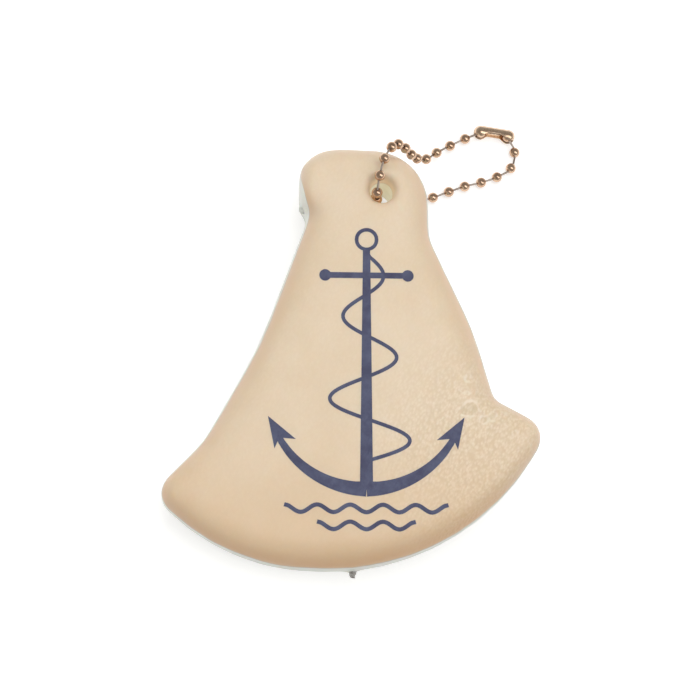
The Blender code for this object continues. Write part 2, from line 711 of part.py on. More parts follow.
def main():
    clear_scene()
    foam = material("foam_skin", (0.76, 0.60, 0.42), 0.45)
    steel = material("nickel_plate", (0.60, 0.52, 0.44), 0.25, 1.0)
    ink = material("navy_ink", (0.07, 0.08, 0.15), 0.5)

    whole = bpy.data.objects.new("keychain", None)
    tipped = bpy.data.objects.new("float_rest", None)
    for empty in (whole, tipped):
        bpy.context.scene.collection.objects.link(empty)
    tipped.parent = whole

    rings = edge_rings(rounded_outline(OUTLINE))
    rest_y = min(spot.y for spot in rings[0])
    tilt = math.asin((2 * BEAD_RADIUS + SEAT_GAP) / (HOLE_Y - rest_y))
    frame = Matrix.Translation((0, rest_y, 0)) @ Matrix.Rotation(tilt, 4, "X")
    frame = frame @ Matrix.Translation((0, -rest_y, 0))
    tipped.rotation_euler.x = tilt
    tipped.location = frame.translation

    build_float(tipped, rings, foam)
    ink_field("print_anchor", anchor_outlines(), ink, tipped)
    for k, (name, crests) in enumerate(WAVES.items()):
        height = CROWN_Y - WAVE_BELOW_CROWN - k * WAVE_SPACING
        ink_field(name, [wave_outline(height, crests)], ink, tipped)

    centres, first, last = bead_centres(frame)
    build_chain(centres, steel, whole)
    build_connector(first, last, steel, whole)

    solids = [item for item in bpy.data.objects if item.type == "MESH" and not item.hide_render]
    centre_on_footprint(whole, solids)


main()
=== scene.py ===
# %% [markdown]
# # A floating keychain
# The real thing is one slab of soft moulded foam, with a tan skin on its face, navy ink on the skin,
# and a loop of bead chain through a hole in its neck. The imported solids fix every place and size.
# This lesson keeps those places and gives each piece its fine shape and its finish.

# %% Load the fixed frame
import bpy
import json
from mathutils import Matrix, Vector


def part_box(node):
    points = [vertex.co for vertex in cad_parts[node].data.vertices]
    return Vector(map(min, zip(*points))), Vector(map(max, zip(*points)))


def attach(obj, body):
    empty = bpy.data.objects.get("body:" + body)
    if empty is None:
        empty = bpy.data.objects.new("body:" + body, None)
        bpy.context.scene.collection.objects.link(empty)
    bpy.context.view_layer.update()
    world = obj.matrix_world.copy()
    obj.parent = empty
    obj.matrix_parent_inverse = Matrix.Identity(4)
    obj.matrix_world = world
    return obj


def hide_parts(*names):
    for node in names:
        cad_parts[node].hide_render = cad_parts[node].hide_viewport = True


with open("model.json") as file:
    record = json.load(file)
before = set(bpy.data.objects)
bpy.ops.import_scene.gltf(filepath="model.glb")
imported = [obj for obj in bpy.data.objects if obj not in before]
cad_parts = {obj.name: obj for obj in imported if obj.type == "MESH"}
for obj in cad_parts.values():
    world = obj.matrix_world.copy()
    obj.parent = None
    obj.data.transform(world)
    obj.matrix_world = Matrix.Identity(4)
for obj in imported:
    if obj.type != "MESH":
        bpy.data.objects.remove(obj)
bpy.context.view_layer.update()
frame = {"nodes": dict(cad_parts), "record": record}

# %% Bring in the tools
import json
import math

import bmesh
import bpy
import numpy as np
from mathutils import Matrix, Vector, noise
from mathutils.bvhtree import BVHTree
from mathutils.geometry import delaunay_2d_cdt

MM = 0.001
BODY = "root"
scene = bpy.context.scene

# %% [markdown]
# ## The camera
# A product photo is framed first, because the frame tells how fine each piece has to be. The camera
# looks almost straight down, from a little to the left and below. Its roll is given: the image's
# upright is the object's +Y, which the usual track-to constraint would turn by some degrees.

# %% Place the camera
VIEW_AZIMUTH = math.radians(-15)
VIEW_ELEVATION = math.radians(78)
VIEW_DISTANCE = 350 * MM
VIEW_TARGET = Vector((-0.36, -2.69, 9.02)) * MM
PHOTO_WIDTH = 700
FOCAL_PIXELS = 1572

flat = math.cos(VIEW_ELEVATION)
back = Vector((math.sin(VIEW_AZIMUTH) * flat, -math.cos(VIEW_AZIMUTH) * flat, math.sin(VIEW_ELEVATION)))
right = (-back).cross(Vector((0, 1, 0))).normalized()
upright = back.cross(right)
camera = bpy.data.objects.new("camera", bpy.data.cameras.new("camera"))
camera.data.sensor_width = 36.0
camera.data.lens = FOCAL_PIXELS / PHOTO_WIDTH * camera.data.sensor_width
camera.data.clip_start = 0.01
camera.matrix_world = Matrix((right, upright, back)).transposed().to_4x4()
camera.location = VIEW_TARGET + back * VIEW_DISTANCE
scene.collection.objects.link(camera)
scene.camera = camera
print("lens:", round(camera.data.lens, 1), "mm")

# %% [markdown]
# ## The float's own axes
# The float leans two degrees, because its neck lies on the chain. Everything on it is easier to place
# in the float's own axes, whose third axis comes out of the printed face. The mount on its back gives
# them: a point on the back face and the way that face looks.

# %% Find the float's axes
rest_mount = next(m for m in frame["record"]["mounts"] if m["name"] == "back_rest")
face_up = -Vector(rest_mount["axis"]).normalized()
face_right = Vector((1.0, 0.0, 0.0))
float_axes = Matrix((face_right, face_up.cross(face_right), face_up)).transposed().to_4x4()
float_axes.translation = Vector(rest_mount["pos_m"])
float_axes_inverse = float_axes.inverted()


def node_points(name):
    """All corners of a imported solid, as rows of x, y and z."""
    return np.array([vert.co for vert in frame["nodes"][name].data.vertices])


def in_float_axes(points):
    """The same points, seen in the float's own axes."""
    turn = np.array(float_axes_inverse)
    return points @ turn[:3, :3].T + turn[:3, 3]


THICKNESS = in_float_axes(node_points("float_body"))[:, 2].max()
print("thickness in mm:", round(THICKNESS / MM, 2), "lean:", round(math.degrees(face_up.angle((0, 0, 1))), 2))

# %% [markdown]
# ## Building blocks
# Every piece is a mesh that rides on the one body, has a finish, and may stand for a imported
# solid. One helper does all of that, so the code of each piece is about its shape.

# %% Helpers that make and dress a piece


def new_piece(name, mesh, finish, stands_for=()):
    """Link a mesh as a piece of the object, with its finish and the solids it replaces."""
    piece = bpy.data.objects.new(name, mesh)
    scene.collection.objects.link(piece)
    mesh.materials.clear()
    mesh.materials.append(finish)
    mesh.shade_smooth()
    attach(piece, BODY)
    if stands_for:
        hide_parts(*stands_for)
    return piece


def mesh_from(name, build):
    """A mesh from a bmesh, with its faces turned outward."""
    bmesh.ops.recalc_face_normals(build, faces=build.faces)
    mesh = bpy.data.meshes.new(name)
    build.to_mesh(mesh)
    build.free()
    return mesh


def spun(profile, steps, closed=False):
    """A bmesh turned round Z from (radius, height) points."""
    build = bmesh.new()
    points = [build.verts.new((radius, 0, height)) for radius, height in profile]
    edges = [build.edges.new(pair) for pair in zip(points, points[1:])]
    if closed:
        edges.append(build.edges.new((points[-1], points[0])))
    bmesh.ops.spin(build, geom=points + edges, cent=(0, 0, 0), axis=(0, 0, 1), angle=math.tau,
                   steps=steps, use_merge=True)
    bmesh.ops.remove_doubles(build, verts=build.verts, dist=0.0001 * MM)
    return build


# %% [markdown]
# ## Shader building blocks
# A finish is a small network of nodes. Two helpers keep that short: one adds a node and fills its
# sockets, and the other starts a node group with named inputs and outputs. A group is made once and
# then placed in each material with its own values.

# %% Helpers for nodes


def srgb(red, green, blue):
    """A colour as a paint program gives it, 0 to 255, turned into the linear values that shaders use."""
    shares = [part / 255 for part in (red, green, blue)]
    linear = [part / 12.92 if part <= 0.04045 else ((part + 0.055) / 1.055) ** 2.4 for part in shares]
    return (*linear, 1.0)


def add_node(tree, kind, inputs=None, **settings):
    """Add a node; each input is a plain value or the socket that feeds it."""
    made = tree.nodes.new(kind)
    for name, value in settings.items():
        setattr(made, name, value)
    for name, value in (inputs or {}).items():
        if isinstance(value, bpy.types.NodeSocket):
            tree.links.new(value, made.inputs[name])
        else:
            made.inputs[name].default_value = value
    return made


def maths(tree, operation, first, second=0.0, third=0.0):
    """One Math node's value."""
    return add_node(tree, "ShaderNodeMath", {0: first, 1: second, 2: third}, operation=operation).outputs[0]


def mixed(tree, share, first, second):
    """Two colours mixed by a share."""
    node = add_node(tree, "ShaderNodeMix", {0: share, 6: first, 7: second}, data_type="RGBA")
    return node.outputs[2]


def ramped(tree, value, low, high, start=0.0, end=1.0):
    """A value that runs smoothly from start to end while the input runs from low to high."""
    names = ("Value", "From Min", "From Max", "To Min", "To Max")
    node = add_node(tree, "ShaderNodeMapRange", dict(zip(names, (value, low, high, start, end))),
                    interpolation_type="SMOOTHSTEP")
    return node.outputs[0]


def new_group(name, inputs, outputs):
    """An empty node group with its named sockets, and its two end nodes."""
    group = bpy.data.node_groups.new(name, "ShaderNodeTree")
    for label, kind, value in inputs:
        group.interface.new_socket(label, in_out="INPUT", socket_type=kind).default_value = value
    for label, kind in outputs:
        group.interface.new_socket(label, in_out="OUTPUT", socket_type=kind)
    return group, group.nodes.new("NodeGroupInput").outputs, group.nodes.new("NodeGroupOutput").inputs


def placed(tree, group, inputs):
    """Place a node group in a material and fill its inputs."""
    made = tree.nodes.new("ShaderNodeGroup")
    made.node_tree = group
    for name, value in inputs.items():
        if isinstance(value, bpy.types.NodeSocket):
            tree.links.new(value, made.inputs[name])
        else:
            made.inputs[name].default_value = value
    return made.outputs


def new_finish(name, **plain):
    """A material with a Principled shader, its plain values set, and its points in the object's space."""
    finish = bpy.data.materials.new(name)
    finish.use_nodes = True
    tree = finish.node_tree
    shader = tree.nodes["Principled BSDF"]
    for label, value in plain.items():
        shader.inputs[label.replace("_", " ")].default_value = value
    points = tree.nodes.new("ShaderNodeTexCoord").outputs["Object"]
    return finish, tree, shader, points


# %% [markdown]
# ## Effects that several finishes share
# Moulded foam skin is pebbled like fine leather, and the ink on it shows the same pebbles, so that
# pattern is a group: low domes with creases between them, all stretched along one slant. So is the
# faint mottling that keeps any one colour from looking like paint from a tin, and so are the hairline
# marks that plated metal picks up from keys.

# %% Group: pebbled skin
POINT = ("Point", "NodeSocketVector", (0.0, 0.0, 0.0))
PEBBLES_PER_METRE = 1900.0
PEBBLE_SLANT = math.radians(60)
PEBBLE_STRETCH = 1.6
PEBBLE_ROUNDNESS = -0.8

pebble_group, given, made = new_group(
    "pebbled skin", [POINT, ("Pebbles per metre", "NodeSocketFloat", PEBBLES_PER_METRE)],
    [("Height", "NodeSocketFloat"), ("Share", "NodeSocketFloat")])
slanted = add_node(pebble_group, "ShaderNodeMapping",
                   {"Vector": given["Point"], "Rotation": (0.0, 0.0, PEBBLE_SLANT),
                    "Scale": (PEBBLE_STRETCH, 1.0, 1.0)}, vector_type="TEXTURE")
cells = add_node(pebble_group, "ShaderNodeTexVoronoi",
                 {"Vector": slanted.outputs[0], "Scale": given["Pebbles per metre"], "Smoothness": 0.5},
                 feature="SMOOTH_F1")
grain = add_node(pebble_group, "ShaderNodeTexNoise",
                 {"Vector": slanted.outputs[0], "Scale": given["Pebbles per metre"], "Detail": 3.0})
wide = add_node(pebble_group, "ShaderNodeTexNoise",
                {"Vector": given["Point"], "Scale": 45.0, "Detail": 1.0})
rough_patches = ramped(pebble_group, wide.outputs[0], 0.35, 0.65, 0.45, 1.0)
pebbles = maths(pebble_group, "MULTIPLY_ADD", cells.outputs["Distance"], PEBBLE_ROUNDNESS, grain.outputs[0])
pebble_group.links.new(maths(pebble_group, "MULTIPLY", pebbles, rough_patches), made["Height"])
pebble_group.links.new(ramped(pebble_group, pebbles, -0.2, 0.6), made["Share"])
print("group:", pebble_group.name)

# %% Group: mottled colour
mottle_group, given, made = new_group(
    "mottled colour",
    [POINT, ("Patches per metre", "NodeSocketFloat", 60.0),
     ("Light", "NodeSocketColor", (1.0, 1.0, 1.0, 1.0)), ("Dark", "NodeSocketColor", (0.5, 0.5, 0.5, 1.0))],
    [("Colour", "NodeSocketColor"), ("Share", "NodeSocketFloat")])
patches = add_node(mottle_group, "ShaderNodeTexNoise",
                   {"Vector": given["Point"], "Scale": given["Patches per metre"], "Detail": 4.0,
                    "Roughness": 0.6})
share = ramped(mottle_group, patches.outputs[0], 0.3, 0.7)
mottle_group.links.new(mixed(mottle_group, share, given["Dark"], given["Light"]), made["Colour"])
mottle_group.links.new(share, made["Share"])
print("group:", mottle_group.name)

# %% Group: hairline marks
hairline_group, given, made = new_group(
    "hairline marks", [POINT, ("Marks per metre", "NodeSocketFloat", 900.0)],
    [("Mask", "NodeSocketFloat")])
bent = add_node(hairline_group, "ShaderNodeTexNoise",
                {"Vector": given["Point"], "Scale": 300.0, "Detail": 2.0})
moved = add_node(hairline_group, "ShaderNodeVectorMath",
                 {0: bent.outputs[1], 1: (0.0012, 0.0012, 0.0012), 2: given["Point"]},
                 operation="MULTIPLY_ADD").outputs[0]
stretched = add_node(hairline_group, "ShaderNodeVectorMath", {0: moved, 1: (1.0, 6.0, 3.0)},
                     operation="MULTIPLY").outputs[0]
lines = add_node(hairline_group, "ShaderNodeTexNoise",
                 {"Vector": stretched, "Scale": given["Marks per metre"], "Detail": 2.0})
hairline_group.links.new(ramped(hairline_group, lines.outputs[0], 0.55, 0.72), made["Mask"])
print("group:", hairline_group.name)

# %% [markdown]
# ## Finish of the foam
# One moulding has two colours. The face has a tan skin that wraps a little way down the rounded edge,
# and the sides and the back are the pale foam itself. The shader finds the border by height above the
# back, in the float's own axes, with a little noise so that it wanders as a dipped edge does. At the
# foot of the neck's left side the pale foam climbs higher, where the mould's step bares the wall.
# Foam lets some light in and out again, which subsurface scattering gives: it softens the shading
# and warms it toward the edges. The scattering blurs fine relief, so the pebbles' light and shade are
# also painted in colour: paler tops are painted highlight and darker creases painted shade, boldest
# at the lower right, where sheen shows them most on the real skin. Painted shade deepens the tan
# toward the hull end and on the rounded edge, and each dent gets a painted highlight ring and painted
# shade on its floor. Scattering is too shallow to carry daylight through the neck into the hole, so
# the hole's wall is given that light as a glow.

# %% Name the foam's colours and places
TAN = {"Light": srgb(231, 213, 188), "Dark": srgb(226, 206, 178), "Patches per metre": 55.0}
PALE_FOAM = {"Light": srgb(238, 239, 231), "Dark": srgb(226, 228, 218), "Patches per metre": 140.0}
# Painted shade: the tan deepens toward the hull end
TAN_SHADE_AT_HULL = srgb(216, 180, 136)
TAN_SHADE_AT_HULL_SHARE = 0.45
# Pebble tops painted paler as highlight, creases painted darker as shade
PEBBLE_TOP_HIGHLIGHT = srgb(238, 222, 200)
PEBBLE_CREASE_SHADE = srgb(222, 201, 171)
# Painted shade on the rounded edge, where the skin turns down from the face
EDGE_SHADE_TAN = srgb(222, 194, 162)
EDGE_SHADE_TAN_AT_HULL = srgb(213, 172, 126)
BORDER_BROWN = srgb(150, 134, 116)
BORDER_SHARE = 1.6
# Painted highlight ring round each dent, and painted shade on its floor
DENT_RING_HIGHLIGHT = srgb(242, 232, 214)
DENT_FLOOR_SHADE = srgb(208, 192, 158)
DAYLIGHT = srgb(190, 180, 150)
BLACK = srgb(0, 0, 0)

# Where the tan skin ends on the rounded edge, and where painted shade starts to deepen its colour
TAN_EDGE_HEIGHT = 13.6 * MM
TAN_EDGE_SOFT = 0.35 * MM
TAN_EDGE_WANDER = 0.8 * MM
EDGE_SHADE_HEIGHT = 14.5 * MM
# Foot of the neck's left side: x and y from the mount's point on the back face, and height above it
BARE_WALL = float_axes @ (Vector((-11.2, 43.0, 13.5)) * MM)
BARE_WALL_RADIUS = 5.9 * MM
BARE_WALL_RISE = 5.0 * MM
# Where the pebbles' bump and their painted highlight and shade are boldest, how far from there they
# fade, and the strength that stays everywhere
BOLD_PLACE = float_axes @ (Vector((31.0, -14.0, 18.0)) * MM)
BOLD_REACH = 34.0 * MM
BOLD_CORE = 0.2 * BOLD_REACH
BOLD_LEAST = 0.15
# The band across which painted shade deepens the tan toward the hull
HULL_LOW = -50.0 * MM
HULL_HIGH = -14.0 * MM
# The foot of the hole's axis, and the bands round it and below its mouth where seeping light fades out
HOLE_FOOT = float_axes @ (Vector((6.5, 44.55, 0.0)) * MM)
SEEP_FULL = 3.2 * MM
SEEP_END = 4.6 * MM
SEEP_DEEP = 15.0 * MM
SEEP_TOP = 17.5 * MM

SCATTER_DEPTH = 1.4 * MM
PEBBLE_HEIGHT = 0.14 * MM
print("colours and places of the foam named")

# %% Measure where a point is on the float


def vector_maths(tree, operation, first, second=(0.0, 0.0, 0.0)):
    """One Vector Math node's outputs."""
    return add_node(tree, "ShaderNodeVectorMath", {0: first, 1: second}, operation=operation).outputs


def height_above_back(tree, points):
    """How far each point is above the back face."""
    height = vector_maths(tree, "DOT_PRODUCT", points, face_up)["Value"]
    return maths(tree, "SUBTRACT", height, face_up.dot(float_axes.translation))


def wandering_height(tree, points, above):
    """The height again, made to wander by noise, and lowered near the bare wall so that it stays pale."""
    wander = add_node(tree, "ShaderNodeTexNoise", {"Vector": points, "Scale": 130.0, "Detail": 2.0})
    above = maths(tree, "MULTIPLY_ADD", wander.outputs[0], TAN_EDGE_WANDER, above)
    above = maths(tree, "SUBTRACT", above, TAN_EDGE_WANDER / 2)
    near_wall = vector_maths(tree, "DISTANCE", points, BARE_WALL)["Value"]
    climb = ramped(tree, near_wall, 0.0, BARE_WALL_RADIUS, BARE_WALL_RISE, 0.0)
    return maths(tree, "SUBTRACT", above, climb)


def daylight_in_hole(tree, points, above):
    """The glow of the hole's wall: how near a point is to the hole's axis, and how far below its mouth."""
    out = vector_maths(tree, "SUBTRACT", points, HOLE_FOOT)[0]
    out = vector_maths(tree, "CROSS_PRODUCT", out, face_up)[0]
    out = vector_maths(tree, "LENGTH", out)["Value"]
    seeping = maths(tree, "MULTIPLY", ramped(tree, above, SEEP_DEEP, SEEP_TOP, 1.0, 0.0),
                    ramped(tree, out, SEEP_FULL, SEEP_END, 1.0, 0.0))
    return mixed(tree, seeping, BLACK, DAYLIGHT)


# %% Colour the tan skin


def with_dent_light_and_shade(tree, points, coat):
    """The coat with a painted highlight, a broken pale ring, round each dent and painted shade on the floor
    of the deep ones.
    """
    grit = add_node(tree, "ShaderNodeTexNoise", {"Vector": points, "Scale": 700.0, "Detail": 1.0})
    dent_share = add_node(tree, "ShaderNodeAttribute", attribute_name="dent_share").outputs["Fac"]
    rings = maths(tree, "MULTIPLY", ramped(tree, dent_share, 0.04, 0.30),
                  ramped(tree, dent_share, 0.40, 0.75, 0.6, 0.0))
    rings = maths(tree, "MULTIPLY", rings, ramped(tree, grit.outputs[0], 0.42, 0.58))
    # Painted highlight ring round each dent
    coat = mixed(tree, rings, coat, DENT_RING_HIGHLIGHT)
    # Painted shade on the floor of the deep dents
    return mixed(tree, ramped(tree, dent_share, 0.4, 0.9, 0.0, 0.3), coat, DENT_FLOOR_SHADE)


def tan_coat(tree, points, above, tan, pebbles, bold):
    """The tan skin's colour: pebbles with painted highlight and shade, painted shade toward the hull, the
    dents' painted highlight rings and shade, and painted shade on the rounded edge.
    """
    # Paler pebble tops are painted highlight and darker creases painted shade, in place of the relief that
    # scattering blurs
    painted_relief = mixed(tree, pebbles["Share"], PEBBLE_CREASE_SHADE, PEBBLE_TOP_HIGHLIGHT)
    coat = mixed(tree, bold, tan["Colour"], painted_relief)
    along_y = add_node(tree, "ShaderNodeSeparateXYZ", {"Vector": points}).outputs["Y"]
    # Painted shade that deepens the tan toward the hull end, on the face and on its rounded edge
    shade_at_hull = ramped(tree, along_y, HULL_LOW, HULL_HIGH, 1.0, 0.0)
    coat = mixed(tree, maths(tree, "MULTIPLY", shade_at_hull, TAN_SHADE_AT_HULL_SHARE), coat, TAN_SHADE_AT_HULL)
    coat = with_dent_light_and_shade(tree, points, coat)
    # Painted shade on the rounded edge, from where it turns down off the face
    edge_shade = ramped(tree, above, EDGE_SHADE_HEIGHT, THICKNESS, 1.0, 0.0)
    return mixed(tree, edge_shade, coat, mixed(tree, shade_at_hull, EDGE_SHADE_TAN, EDGE_SHADE_TAN_AT_HULL))


# %% Make the foam's finish


def foam_finish():
    """Tan face, pale sides, and fine pebbles over both."""
    finish, tree, shader, points = new_finish("tan_foam", IOR=1.45, Coat_Weight=0.4, Coat_Roughness=0.25,
                                              Subsurface_Weight=0.4, Subsurface_Scale=SCATTER_DEPTH,
                                              Emission_Strength=0.4)
    shader.inputs["Subsurface Radius"].default_value = (1.0, 0.6, 0.35)
    tan = placed(tree, mottle_group, {"Point": points, **TAN})
    pale = placed(tree, mottle_group, {"Point": points, **PALE_FOAM})
    pebbles = placed(tree, pebble_group, {"Point": points, "Pebbles per metre": PEBBLES_PER_METRE})
    away = vector_maths(tree, "DISTANCE", points, BOLD_PLACE)["Value"]
    bold = ramped(tree, away, BOLD_CORE, BOLD_REACH, 1.0, BOLD_LEAST)

    above = height_above_back(tree, points)
    tree.links.new(daylight_in_hole(tree, points, above), shader.inputs["Emission Color"])
    above = wandering_height(tree, points, above)
    face_share = ramped(tree, above, TAN_EDGE_HEIGHT - TAN_EDGE_SOFT, TAN_EDGE_HEIGHT + TAN_EDGE_SOFT)
    colour = mixed(tree, face_share, pale["Colour"], tan_coat(tree, points, above, tan, pebbles, bold))
    border = maths(tree, "MULTIPLY", face_share, maths(tree, "SUBTRACT", 1.0, face_share))
    colour = mixed(tree, maths(tree, "MULTIPLY", border, BORDER_SHARE), colour, BORDER_BROWN)
    tree.links.new(colour, shader.inputs["Base Color"])

    gloss = ramped(tree, face_share, 0.0, 1.0, 0.62, 0.44)
    tree.links.new(maths(tree, "MULTIPLY_ADD", tan["Share"], -0.06, gloss), shader.inputs["Roughness"])
    bump = add_node(tree, "ShaderNodeBump", {"Strength": bold, "Height": pebbles["Height"],
                                             "Distance": PEBBLE_HEIGHT})
    tree.links.new(bump.outputs[0], shader.inputs["Normal"])
    return finish


foam_skin = foam_finish()
print("finish:", foam_skin.name)

# %% [markdown]
# ## The float
# The imported solid has the right outline and thickness, but its edge is made of flats. Blender's voxel
# remesh turns it into an even net of small squares, which a few rounds of averaging then relax: each
# corner moves halfway to the middle of its neighbours. That rounds the flats as soft foam is round.
# A last pass moves every corner along its normal by gentle noise, because a foam face is never flat.
# The small dents near the right tip are pressed in there too, and how deep each corner is pressed is
# kept with the mesh as an attribute, which the finish reads to paint a highlight ring round a dent
# and shade on its floor.

# %% Relax the imported solid into a soft skin
VOXEL = 0.46 * MM
RELAX_ROUNDS = 36
PUFF = 0.10 * MM


def remeshed(node, voxel):
    """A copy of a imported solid's mesh as an even net of small faces."""
    copy = bpy.data.objects.new("remesh_copy", frame["nodes"][node].data.copy())
    scene.collection.objects.link(copy)
    net = copy.modifiers.new("net", "REMESH")
    net.mode = "VOXEL"
    net.voxel_size = voxel
    mesh = bpy.data.meshes.new_from_object(copy.evaluated_get(bpy.context.evaluated_depsgraph_get()))
    bpy.data.objects.remove(copy)
    return mesh


def relax(points, edges, rounds):
    """Move each corner halfway to the middle of its neighbours, a number of times."""
    ends = np.concatenate([edges, edges[:, ::-1]])
    counts = np.bincount(ends[:, 0], minlength=len(points))[:, None]
    for _ in range(rounds):
        sums = [np.bincount(ends[:, 0], weights=points[ends[:, 1], k], minlength=len(points))
                for k in range(3)]
        points = (points + np.stack(sums, 1) / counts) / 2
    return points


skin_mesh = remeshed("float_body", VOXEL)
skin_points = np.array([vert.co for vert in skin_mesh.vertices])
skin_edges = np.array([edge.vertices[:] for edge in skin_mesh.edges])
skin_points = relax(skin_points, skin_edges, RELAX_ROUNDS)
skin_mesh.vertices.foreach_set("co", skin_points.astype(np.float32).ravel())
skin_mesh.update()
print("skin corners:", len(skin_points))

# %% Give the skin its swells and its small dents
SWELL_SIZE = 16 * MM
SWELL_HEIGHT = 0.16 * MM
RIPPLE_SIZE = 3.2 * MM
RIPPLE_HEIGHT = 0.030 * MM
# Small dents near the right tip: x and y from the mount's point, radius and depth, in mm
DENTS = [(25.0, 2.6, 0.8, 0.20), (23.0, -0.6, 0.8, 0.20), (24.7, -0.6, 0.7, 0.18), (25.6, -4.0, 1.3, 0.50),
         (24.0, -4.6, 0.8, 0.26), (30.3, -5.8, 0.9, 0.24), (28.3, -6.4, 0.8, 0.28), (32.9, -4.9, 0.7, 0.16)]
FACE_FROM = 0.9 * THICKNESS
# Depth that counts as a whole dent for the finish's painted highlight ring and shade
DENT_SHARE_DEPTH = 0.26 * MM


def dent_depth(spot):
    """How far the dents push the face in at a point of the float's own axes."""
    depth = 0.0
    for x, y, radius, deep in DENTS:
        away = math.hypot(spot[0] - x * MM, spot[1] - y * MM) / (radius * MM)
        depth += deep * MM * math.exp(-away * away)
    return depth


on_face = in_float_axes(skin_points)
moves = np.zeros(len(skin_points))
dent_shares = np.zeros(len(skin_points))
for k, (point, spot) in enumerate(zip(skin_points, on_face)):
    swell = noise.noise(Vector(point) / SWELL_SIZE + Vector((3.1, 0.4, 7.7)))
    ripple = noise.noise(Vector(point) / RIPPLE_SIZE)
    moves[k] = PUFF + swell * SWELL_HEIGHT / 2 + ripple * RIPPLE_HEIGHT
    if spot[2] > FACE_FROM:
        moves[k] -= dent_depth(spot)
        dent_shares[k] = dent_depth(spot) / DENT_SHARE_DEPTH
normals = np.array([vert.normal for vert in skin_mesh.vertices])
skin_points += normals * moves[:, None]
skin_mesh.vertices.foreach_set("co", skin_points.astype(np.float32).ravel())
skin_mesh.update()
# Dent depth kept for the finish to paint highlight rings and shade
skin_mesh.attributes.new("dent_share", "FLOAT", "POINT").data.foreach_set("value", dent_shares.astype(np.float32))
float_skin = new_piece("float_skin", skin_mesh, foam_skin, ["float_body"])
print("moved by", round(moves.min() / MM, 3), "to", round(moves.max() / MM, 3), "mm")

# %% [markdown]
# ## Moulding marks
# A mould leaves two scars on the rim: the sprue, where the foam was poured, which is snapped off and
# leaves a streaky stub, and the vent, where air left, which leaves a pale pip. The sprue's stub is
# coloured grey as painted shade, for the half shadow it sits in under the rim. Each is a turned
# form that narrows outward, with its root sunk in the skin, and noise roughens it so that it looks torn.

# %% Make the torn stubs
SPRUE_FOOT = 1.0 * MM
SPRUE_TIP = 0.5 * MM
SPRUE_LENGTH = 1.7 * MM
PIP_FOOT = 0.9 * MM
PIP_TIP = 0.6 * MM
PIP_LENGTH = 0.35 * MM
PIP_PLACE = float_axes @ (Vector((-11.2, 41.2, 11.5)) * MM)
STUB_ROOT = 1.2 * MM
STUB_STEPS = 12
STUB_COLUMNS = 24
STUB_SLANT = 0.25
TORN = 0.16 * MM
TEAR_SIZE = 0.45 * MM
TEAR_SEED = 4
STREAKS_PER_METRE = 1300.0
STREAK_DEPTH = 0.05 * MM
noise.seed_set(TEAR_SEED)    # noise vectors follow this seed, which would otherwise come from the clock


def stub_mesh(name, foot, tip, length, place, turn):
    """A stub that narrows from its foot to a slanted blunt tip, torn all over, with its root sunk in."""
    sides = [(foot + (tip - foot) * k / STUB_STEPS, length * k / STUB_STEPS) for k in range(STUB_STEPS + 1)]
    build = spun([(0, -STUB_ROOT), (foot, -STUB_ROOT), *sides, (tip / 2, length), (0, length)], STUB_COLUMNS)
    for vert in build.verts:
        vert.co.z += STUB_SLANT * vert.co.x * max(0.0, vert.co.z) / length
        vert.co += noise.noise_vector(vert.co / TEAR_SIZE + place / MM) * TORN
    build.transform(Matrix.Translation(place) @ turn.to_4x4())
    return mesh_from(name, build)


def stub_finish(name, light, dark):
    """Torn foam with streaks."""
    finish, tree, shader, points = new_finish(name, Roughness=0.8)
    streaks = placed(tree, mottle_group, {"Point": points, "Patches per metre": STREAKS_PER_METRE,
                                          "Light": light, "Dark": dark})
    tree.links.new(streaks["Colour"], shader.inputs["Base Color"])
    bump = add_node(tree, "ShaderNodeBump", {"Height": streaks["Share"], "Distance": STREAK_DEPTH})
    tree.links.new(bump.outputs[0], shader.inputs["Normal"])
    return finish


# The sprue stub's grey is painted shade
torn_grey_painted_shade = stub_finish("torn_foam_grey_painted_shade", srgb(196, 194, 190), srgb(122, 118, 114))
torn_pale = stub_finish("torn_pale_foam", srgb(232, 234, 228), srgb(206, 210, 202))
facing_front = Matrix.Rotation(math.pi / 2, 3, "X")
facing_left = Matrix.Rotation(-math.pi / 2, 3, "Y")
body_points = node_points("float_body")
sprue_tip = Vector(body_points[body_points[:, 1].argmin()])
sprue_place = sprue_tip + Vector((0, SPRUE_LENGTH, 0))
sprue = stub_mesh("sprue_stub", SPRUE_FOOT, SPRUE_TIP, SPRUE_LENGTH, sprue_place, facing_front)
new_piece("sprue_stub", sprue, torn_grey_painted_shade)
pip = stub_mesh("vent_pip", PIP_FOOT, PIP_TIP, PIP_LENGTH, PIP_PLACE, facing_left)
new_piece("vent_pip", pip, torn_pale)
print("sprue at", [round(v / MM, 2) for v in sprue_place])

# %% [markdown]
# ## The chain's metal
# The balls, the pins and the coupling are steel with a warm nickel plate. Metal gets its look from
# what it mirrors, so its finish is simple: a warm base colour, hairline marks that are a little
# rougher, and mottling. The pins are drawn wire and a little duller.

# %% Make the metal finishes
MARK_BROWN = srgb(120, 98, 80)
MARK_SHARE = 0.35
MARK_ROUGHER = 0.18
MARK_DEPTH = 0.01 * MM


